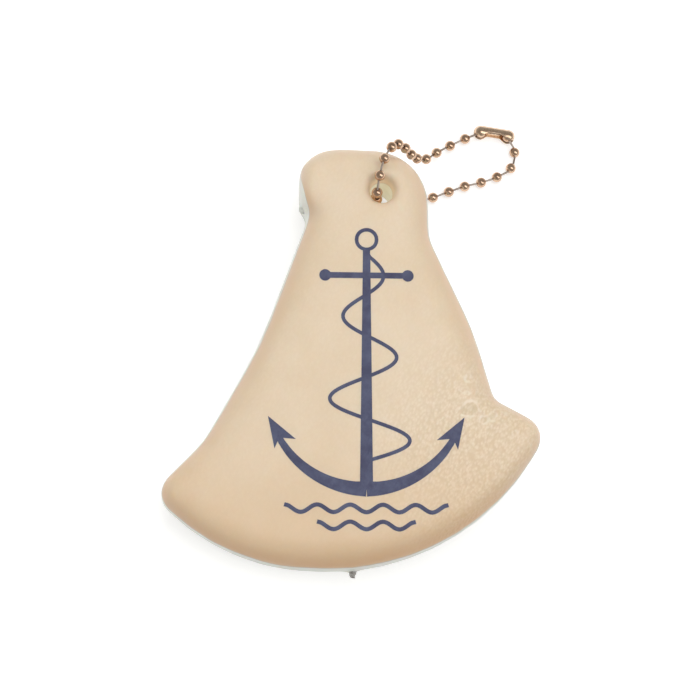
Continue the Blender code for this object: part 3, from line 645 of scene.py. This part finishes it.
def nickel_finish(name, light, dark, rough, marks):
    """Plated steel with hairline marks."""
    finish, tree, shader, points = new_finish(name, Metallic=1.0)
    plate = placed(tree, mottle_group, {"Point": points, "Patches per metre": 500.0,
                                        "Light": light, "Dark": dark})
    wear = placed(tree, hairline_group, {"Point": points, "Marks per metre": marks})
    worn = maths(tree, "MULTIPLY", wear["Mask"], MARK_SHARE)
    tree.links.new(mixed(tree, worn, plate["Colour"], MARK_BROWN), shader.inputs["Base Color"])
    tree.links.new(maths(tree, "MULTIPLY_ADD", wear["Mask"], MARK_ROUGHER, rough), shader.inputs["Roughness"])
    bump = add_node(tree, "ShaderNodeBump", {"Height": wear["Mask"], "Strength": 0.3,
                                             "Distance": MARK_DEPTH})
    tree.links.new(bump.outputs[0], shader.inputs["Normal"])
    return finish


ball_nickel = nickel_finish("ball_nickel", srgb(222, 192, 166), srgb(200, 164, 136), 0.10, 900.0)
wire_nickel = nickel_finish("wire_nickel", srgb(206, 194, 184), srgb(168, 152, 140), 0.30, 2000.0)
coupling_nickel = nickel_finish("coupling_nickel", srgb(238, 214, 190), srgb(214, 182, 152), 0.22, 700.0)
print("finishes:", ball_nickel.name, wire_nickel.name, coupling_nickel.name)

# %% [markdown]
# ## The balls
# Each ball is rolled from a strip of sheet: a hollow shell with a lipped opening at each pole, where
# the pins come out, and a hairline seam down one side where the strip's edges meet. It is turned from
# one profile. The seam is three close columns of corners, of which the middle one is pushed in.

# %% Read the chain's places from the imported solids
BALL_COUNT = sum(name.startswith("bead_") for name in frame["nodes"])


def middle_of(node):
    """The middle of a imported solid's box, which for a ball or a pin is its centre."""
    low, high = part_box(node)
    return (low + high) / 2


centres = [middle_of(f"bead_{k:02d}") for k in range(1, BALL_COUNT + 1)]
runs = [(ahead - here).normalized() for here, ahead in zip(centres, centres[1:])]
ball_axes = [(a + b).normalized() for a, b in zip([runs[0], *runs], [*runs, runs[-1]])]
BALL_RADIUS = np.linalg.norm(node_points("bead_10") - np.array(centres[9]), axis=1).max()
print("balls:", BALL_COUNT, "radius in mm:", round(BALL_RADIUS / MM, 3))

# %% Turn the balls
BALL_WALL = 0.2 * MM
BALL_OPENING = 0.34 * MM
LIP_RADIUS = 0.05 * MM
BALL_COLUMNS = 28
BALL_ROWS = 14
INNER_ROWS = 6
SEAM_HALF_ANGLE = math.radians(3)
SEAM_DEPTH = 0.025 * MM


def ball_profile():
    """Outer skin, rounded lip, inner skin and rounded lip again, as (radius, height) points."""
    start = math.asin((BALL_OPENING + LIP_RADIUS) / BALL_RADIUS)
    outer = [start + (math.pi - 2 * start) * k / BALL_ROWS for k in range(BALL_ROWS + 1)]
    inner_radius = BALL_RADIUS - BALL_WALL
    first = math.asin(BALL_OPENING / inner_radius)
    inner = [first + (math.pi - 2 * first) * k / INNER_ROWS for k in range(INNER_ROWS + 1)]
    rim_height = (BALL_RADIUS * math.cos(start) + inner_radius * math.cos(first)) / 2
    points = [(BALL_RADIUS * math.sin(a), BALL_RADIUS * math.cos(a)) for a in outer]
    points.append((BALL_OPENING, -rim_height))
    points += [(inner_radius * math.sin(a), inner_radius * math.cos(a)) for a in reversed(inner)]
    points.append((BALL_OPENING, rim_height))
    return points


def ball_mesh(name, centre, axis, roll):
    """One rolled ball, with its seam, at its place in the chain."""
    sweep = math.tau - 2 * SEAM_HALF_ANGLE
    angles = [-SEAM_HALF_ANGLE, 0.0]
    angles += [SEAM_HALF_ANGLE + sweep * k / BALL_COLUMNS for k in range(BALL_COLUMNS)]
    build = bmesh.new()
    profile = ball_profile()
    columns = []
    for angle in angles:
        shrink = SEAM_DEPTH / BALL_RADIUS if angle == 0.0 else 0.0
        columns.append([build.verts.new((radius * (1 - shrink) * math.cos(angle),
                                         radius * (1 - shrink) * math.sin(angle), height))
                        for radius, height in profile])
    for column, after in zip(columns, columns[1:] + columns[:1]):
        for k in range(len(profile)):
            build.faces.new((column[k - 1], after[k - 1], after[k], column[k]))
    turn = axis.to_track_quat("Z", "Y").to_matrix() @ Matrix.Rotation(roll, 3, "Z")
    build.transform(Matrix.Translation(centre) @ turn.to_4x4())
    return mesh_from(name, build)


GOLDEN_ANGLE = math.radians(137.5)
for k, (centre, axis) in enumerate(zip(centres, ball_axes), start=1):
    node = f"bead_{k:02d}"
    new_piece(f"ball_{k:02d}", ball_mesh(f"ball_{k:02d}", centre, axis, k * GOLDEN_ANGLE), ball_nickel,
              [node])
print("balls made:", BALL_COUNT)

# %% [markdown]
# ## The pins
# A pin is a short wire whose two ends were upset into round heads, which the balls' lips then trap.
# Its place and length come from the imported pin: the solid's longest direction is the wire's axis.

# %% Turn the pins
WIRE_RADIUS = 0.24 * MM
HEAD_RADIUS = 0.4 * MM
WIRE_TAPER = 0.06
WAIST_SHARE = 0.6
WAIST_STEPS = 6
PIN_COLUMNS = 14
HEAD_ROWS = 7


def longest_direction(points):
    """The direction in which a cloud of points is longest, and its half length that way."""
    centred = points - (points.min(0) + points.max(0)) / 2
    direction = np.linalg.svd(centred, full_matrices=False)[2][0]
    return Vector(direction), np.abs(centred @ direction).max()


def pin_mesh(name, node):
    """A dumbbell pin whose drawn wire tapers by a hair from one head to the other."""
    direction, half = longest_direction(node_points(node))
    head_centre = half - HEAD_RADIUS
    neck = math.asin(WIRE_RADIUS / HEAD_RADIUS)
    angles = [(math.pi - neck) * k / HEAD_ROWS for k in range(HEAD_ROWS + 1)]
    upper = [(HEAD_RADIUS * math.sin(a), head_centre + HEAD_RADIUS * math.cos(a)) for a in angles]
    waist = [(WIRE_RADIUS * (1 - WIRE_TAPER * math.cos(k * math.pi / WAIST_STEPS)),
              head_centre * WAIST_SHARE * (1 - 2 * k / WAIST_STEPS)) for k in range(1, WAIST_STEPS)]
    lower = [(radius, -height) for radius, height in reversed(upper)]
    build = spun([*upper, *waist, *lower], PIN_COLUMNS)
    turn = direction.to_track_quat("Z", "Y").to_matrix()
    build.transform(Matrix.Translation(middle_of(node)) @ turn.to_4x4())
    return mesh_from(name, build)


for k in range(1, BALL_COUNT):
    node = f"pin_{k:02d}"
    new_piece(f"link_{k:02d}", pin_mesh(f"link_{k:02d}", node), wire_nickel, [node])
print("pins made:", BALL_COUNT - 1)

# %% [markdown]
# ## The coupling
# The coupling is a strip of sheet folded lengthwise into a sleeve, with a cup at each end that snaps
# over a ball. Its back is straight. Its open side is cut away at the waist, so that a ball can be
# slipped in and then pulled along into its cup. It is drawn as rings along its length, each an arc
# that leaves the slot open, on an inner and an outer skin. The waist's rings are pinched a little
# flatter, as folding leaves them, and a bevel then softens the sheared edges.

# %% Fold the coupling
SHEET = 0.3 * MM
CUP_PLAY = 0.2 * MM
END_HOLE = 0.5 * MM
CUP_SLOT = math.radians(40)
WAIST_SLOT = math.radians(85)
SLOT_BLEND = 0.6
CUP_RINGS = 9
SLEEVE_RINGS = 12
RING_STEPS = 36
COUPLING_ROLL = math.radians(-4)
WAIST_PINCH = 0.10
SHEARED_EDGE = 0.05 * MM
SHEARED_ANGLE = math.radians(50)


def coupling_rings(half):
    """Rings from cup to cup: place and radius of both skins, half the slot's angle, and the pinch."""
    inner = BALL_RADIUS + CUP_PLAY
    outer = inner + SHEET
    last = math.acos(END_HOLE / inner)
    rings = []
    for k in range(CUP_RINGS, 0, -1):
        bend = last * k / CUP_RINGS
        rings.append((half + inner * math.sin(bend), inner * math.cos(bend),
                      half + outer * math.sin(bend), outer * math.cos(bend), CUP_SLOT, 0.0))
    for k in range(SLEEVE_RINGS):
        share = 1 - k / SLEEVE_RINGS
        opened = math.sin(math.pi / 2 * min(1.0, (1 - share) / SLOT_BLEND)) ** 2
        rings.append((half * share, inner, half * share, outer, CUP_SLOT + (WAIST_SLOT - CUP_SLOT) * opened,
                      WAIST_PINCH * opened))
    mirrored = [(-a, r, -b, *rest) for a, r, b, *rest in reversed(rings)]
    return rings + [(0.0, inner, 0.0, outer, WAIST_SLOT, WAIST_PINCH)] + mirrored


def coupling_mesh(name):
    """The folded sleeve between the chain's two end balls."""
    first, last = centres[0], centres[-1]
    along = (first - last).normalized()
    build = bmesh.new()
    skins = ([], [])
    for inner_x, inner, outer_x, outer, slot, pinch in coupling_rings((first - last).length / 2):
        angles = [slot + (math.tau - 2 * slot) * k / RING_STEPS for k in range(RING_STEPS + 1)]
        for skin, x, radius in ((skins[0], inner_x, inner), (skins[1], outer_x, outer)):
            skin.append([build.verts.new((x, -radius * math.cos(a), radius * math.sin(a) * (1 - pinch)))
                         for a in angles])
    for skin in skins:
        for row, after in zip(skin, skin[1:]):
            for k in range(RING_STEPS):
                build.faces.new((row[k], row[k + 1], after[k + 1], after[k]))
    inside, outside = skins
    for end in (0, -1):
        for k in range(RING_STEPS):
            build.faces.new((inside[end][k], inside[end][k + 1], outside[end][k + 1], outside[end][k]))
    for side in (0, -1):
        for k in range(len(inside) - 1):
            build.faces.new((inside[k][side], inside[k + 1][side], outside[k + 1][side], outside[k][side]))
    across = Vector((0, 0, 1)).cross(along)
    turn = Matrix((along, across, Vector((0, 0, 1)))).transposed() @ Matrix.Rotation(COUPLING_ROLL, 3, "X")
    build.transform(Matrix.Translation((first + last) / 2) @ turn.to_4x4())
    return mesh_from(name, build)


coupling = new_piece("coupling", coupling_mesh("coupling"), coupling_nickel, ["connector"])
soften = coupling.modifiers.new("sheared edges", "BEVEL")
soften.width = SHEARED_EDGE
soften.segments = 3
soften.limit_method = "ANGLE"
soften.angle_limit = SHEARED_ANGLE
print("coupling made, width of its edge in mm:", SHEARED_EDGE / MM)

# %% [markdown]
# ## The ink
# Pad-printed ink is a film some hundredths of a millimetre thick that takes on every swell of the
# face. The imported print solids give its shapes. Their top faces are traced into outlines, shallow
# corners of the outlines are rounded, and every point is then dropped onto the skin from above.

# %% Make the ink's finish


def ink_finish():
    """Navy ink with the skin's pebbles showing through it."""
    finish, tree, shader, points = new_finish("printed_ink", IOR=1.45)
    navy = placed(tree, mottle_group, {"Point": points, "Patches per metre": 260.0,
                                       "Light": srgb(82, 88, 118), "Dark": srgb(66, 68, 98)})
    tree.links.new(navy["Colour"], shader.inputs["Base Color"])
    tree.links.new(ramped(tree, navy["Share"], 0.0, 1.0, 0.5, 0.4), shader.inputs["Roughness"])
    pebbles = placed(tree, pebble_group, {"Point": points, "Pebbles per metre": PEBBLES_PER_METRE})
    bump = add_node(tree, "ShaderNodeBump", {"Height": pebbles["Height"], "Distance": PEBBLE_HEIGHT})
    tree.links.new(bump.outputs[0], shader.inputs["Normal"])
    return finish


navy_ink = ink_finish()
print("finish:", navy_ink.name)

# %% Trace the outlines of a printed field
SHARP_CORNER = math.radians(50)
INK_STEP = 0.35 * MM


def top_outlines(node):
    """Closed outlines of a packed print's top, as 2-D points in the float's own axes."""
    build = bmesh.new()
    build.from_mesh(frame["nodes"][node].data)
    bmesh.ops.remove_doubles(build, verts=build.verts, dist=0.001 * MM)
    build.normal_update()
    top = {face for face in build.faces if face.normal.dot(face_up) > 0.9}
    after = {}
    for face in top:
        for loop in face.loops:
            if len([f for f in loop.edge.link_faces if f in top]) == 1:
                after[loop.vert.index] = loop.link_loop_next.vert.index
    spots = in_float_axes(np.array([vert.co for vert in build.verts]))
    build.free()
    outlines = []
    while after:
        here = next(iter(after))
        ring = []
        while here in after:
            ring.append(Vector(spots[here][:2]))
            here = after.pop(here)
        outlines.append(ring)
    return outlines


def smoothed(ring):
    """The outline with more points, rounded through shallow corners and left sharp at real ones."""
    count = len(ring)
    sharp = []
    for k, here in enumerate(ring):
        arriving, leaving = here - ring[k - 1], ring[(k + 1) % count] - here
        sharp.append(arriving.angle(leaving, 0.0) > SHARP_CORNER)
    fine = []
    for k, here in enumerate(ring):
        ahead = ring[(k + 1) % count]
        before = 2 * here - ahead if sharp[k] else ring[k - 1]
        beyond = 2 * ahead - here if sharp[(k + 1) % count] else ring[(k + 2) % count]
        steps = max(1, round((ahead - here).length / INK_STEP))
        for j in range(steps):
            t = j / steps
            pull = 0.5 * ((ahead - before) * t + (2 * before - 5 * here + 4 * ahead - beyond) * t * t
                          + (3 * here - 3 * ahead + beyond - before) * t ** 3)
            fine.append(here + pull)
    return fine


sample = top_outlines("print_wave_lower")
print("outlines in the lower wave:", len(sample), "with points:", [len(ring) for ring in sample])

# %% Lay the ink on the skin
INK_PROUD = 0.03 * MM
INK_SUNK = 0.06 * MM
INK_EDGE_ANGLE = math.radians(40)
skin_tree = BVHTree.FromPolygons([Vector(point) for point in skin_points],
                                 [list(face.vertices) for face in skin_mesh.polygons])


def onto_skin(spot, lift):
    """A 2-D point of the float's axes, dropped onto the skin and lifted off it a little."""
    above = float_axes @ Vector((spot.x, spot.y, THICKNESS + 5 * MM))
    hit = skin_tree.ray_cast(above, -face_up)[0]
    return hit + face_up * lift


def inside(spot, rings):
    """Whether a point lies in an odd number of outlines."""
    crossings = 0
    for ring in rings:
        for a, b in zip(ring, ring[1:] + ring[:1]):
            if (a.y > spot.y) != (b.y > spot.y):
                crossings += spot.x < a.x + (spot.y - a.y) / (b.y - a.y) * (b.x - a.x)
    return crossings % 2 == 1


def ink_mesh(name, node):
    """A closed film of ink that follows the skin under a packed print solid."""
    rings = [smoothed(ring) for ring in top_outlines(node)]
    spots = [spot for ring in rings for spot in ring]
    edges = []
    for ring in rings:
        start = len(edges)
        edges += [(start + k, start + (k + 1) % len(ring)) for k in range(len(ring))]
    corners, _, faces, *_ = delaunay_2d_cdt(spots, edges, [], 0, 0.0001 * MM)
    build = bmesh.new()
    tops = [build.verts.new(onto_skin(spot, INK_PROUD)) for spot in corners]
    kept = [face for face in faces if inside(sum((corners[k] for k in face), Vector((0, 0))) / 3, rings)]
    for face in kept:
        build.faces.new([tops[k] for k in face])
    bmesh.ops.delete(build, geom=[vert for vert in build.verts if not vert.link_faces], context="VERTS")
    top_faces = list(build.faces)
    rim = [edge for edge in build.edges if len(edge.link_faces) == 1]
    lower = bmesh.ops.duplicate(build, geom=list(build.verts) + list(build.edges) + top_faces)
    for item in lower["geom"]:
        if isinstance(item, bmesh.types.BMVert):
            item.co -= face_up * (INK_PROUD + INK_SUNK)
    partner = lower["vert_map"]
    for edge in rim:
        a, b = edge.verts
        build.faces.new((a, b, partner[b], partner[a]))
    return mesh_from(name, build)


for piece_name, node in (("ink_anchor", "print_anchor"), ("ink_wave_upper", "print_wave_upper"),
                         ("ink_wave_lower", "print_wave_lower")):
    ink = new_piece(piece_name, ink_mesh(piece_name, node), navy_ink, [node])
    ink.data.set_sharp_from_angle(angle=INK_EDGE_ANGLE)
    print(piece_name, "faces:", len(ink.data.polygons))

# %% [markdown]
# ## Floor and light
# A white sweep under soft light is how such a thing is photographed. The floor's paint is white and
# takes the shadow. A little glow is added only where the camera or a mirror looks at it, which lifts
# it to plain white in the picture and in the metal without throwing more light on the float. Polished
# balls mirror every lamp, and the photo shows one highlight on each, so only the side lamp is left
# for mirrors to see. Two large lamps, above and to the left, light the foam, the ink and the floor.
# They are hidden from mirrors, and the dim world leaves the metal its dark reflections.

# %% Lay the floor
FLOOR_RADIUS = 6.0
FLOOR_DROP = 0.02 * MM
FLOOR_WHITE = 0.80
FLOOR_GLOW = 0.45


def floor_finish():
    """White paint that takes shadows, with a glow for the camera and for mirrors."""
    finish = bpy.data.materials.new("floor_white")
    finish.use_nodes = True
    tree = finish.node_tree
    shader = tree.nodes["Principled BSDF"]
    shader.inputs["Base Color"].default_value = (FLOOR_WHITE, FLOOR_WHITE, FLOOR_WHITE, 1.0)
    shader.inputs["Roughness"].default_value = 1.0
    shader.inputs["Specular IOR Level"].default_value = 0.0
    shader.inputs["Emission Color"].default_value = (1.0, 1.0, 1.0, 1.0)
    path = tree.nodes.new("ShaderNodeLightPath").outputs
    seen = maths(tree, "MAXIMUM", path["Is Camera Ray"], path["Is Glossy Ray"])
    seen = maths(tree, "MAXIMUM", seen, path["Is Transmission Ray"])
    tree.links.new(maths(tree, "MULTIPLY", seen, FLOOR_GLOW), shader.inputs["Emission Strength"])
    return finish


disc = bmesh.new()
bmesh.ops.create_circle(disc, cap_ends=True, segments=96, radius=FLOOR_RADIUS)
bmesh.ops.translate(disc, verts=disc.verts, vec=(0, 0, -FLOOR_DROP))
floor = bpy.data.objects.new("floor", mesh_from("floor", disc))
floor.data.materials.append(floor_finish())
scene.collection.objects.link(floor)
print("floor radius:", FLOOR_RADIUS)

# %% Set the lamps and the world


def soft_lamp(name, place, width, height, power, colour):
    """A soft lamp with a flat front that looks at the middle of the float."""
    lamp = bpy.data.lights.new(name, "AREA")
    lamp.shape = "RECTANGLE"
    lamp.size = width
    lamp.size_y = height
    lamp.energy = power
    lamp.color = colour
    stand = bpy.data.objects.new(name, lamp)
    stand.location = place
    stand.rotation_mode = "QUATERNION"
    stand.rotation_quaternion = (VIEW_TARGET - Vector(place)).to_track_quat("-Z", "Y")
    scene.collection.objects.link(stand)
    return stand


# Places in metres, powers in watts
LARGE_LAMPS = (("top_lamp", (0.15, 0.42, 0.85), 3.5), ("left_lamp", (-0.60, 0.10, 0.58), 1.8))
LARGE_LAMP_SIDE = 0.8
WARM_WHITE = (1.0, 0.985, 0.96)
ROOM_AT_HORIZON = 0.45
ROOM_OVERHEAD = 0.30

soft_lamp("side_lamp", (0.34, -0.13, 0.66), 0.36, 0.95, 2.0, (1.0, 0.99, 0.97))
for name, place, power in LARGE_LAMPS:
    soft_lamp(name, place, LARGE_LAMP_SIDE, LARGE_LAMP_SIDE, power, WARM_WHITE).visible_glossy = False
world = bpy.data.worlds.new("studio")
world.use_nodes = True
room = world.node_tree
look = room.nodes.new("ShaderNodeTexCoord").outputs["Generated"]
upward = add_node(room, "ShaderNodeVectorMath", {0: look, 1: (0.0, 0.0, 1.0)}, operation="DOT_PRODUCT")
brightness = ramped(room, upward.outputs["Value"], 0.0, 0.8, ROOM_AT_HORIZON, ROOM_OVERHEAD)
room.nodes["Background"].inputs["Color"].default_value = (1.0, 0.985, 0.965, 1.0)
room.links.new(brightness, room.nodes["Background"].inputs["Strength"])
scene.world = world
scene.view_settings.view_transform = "Standard"
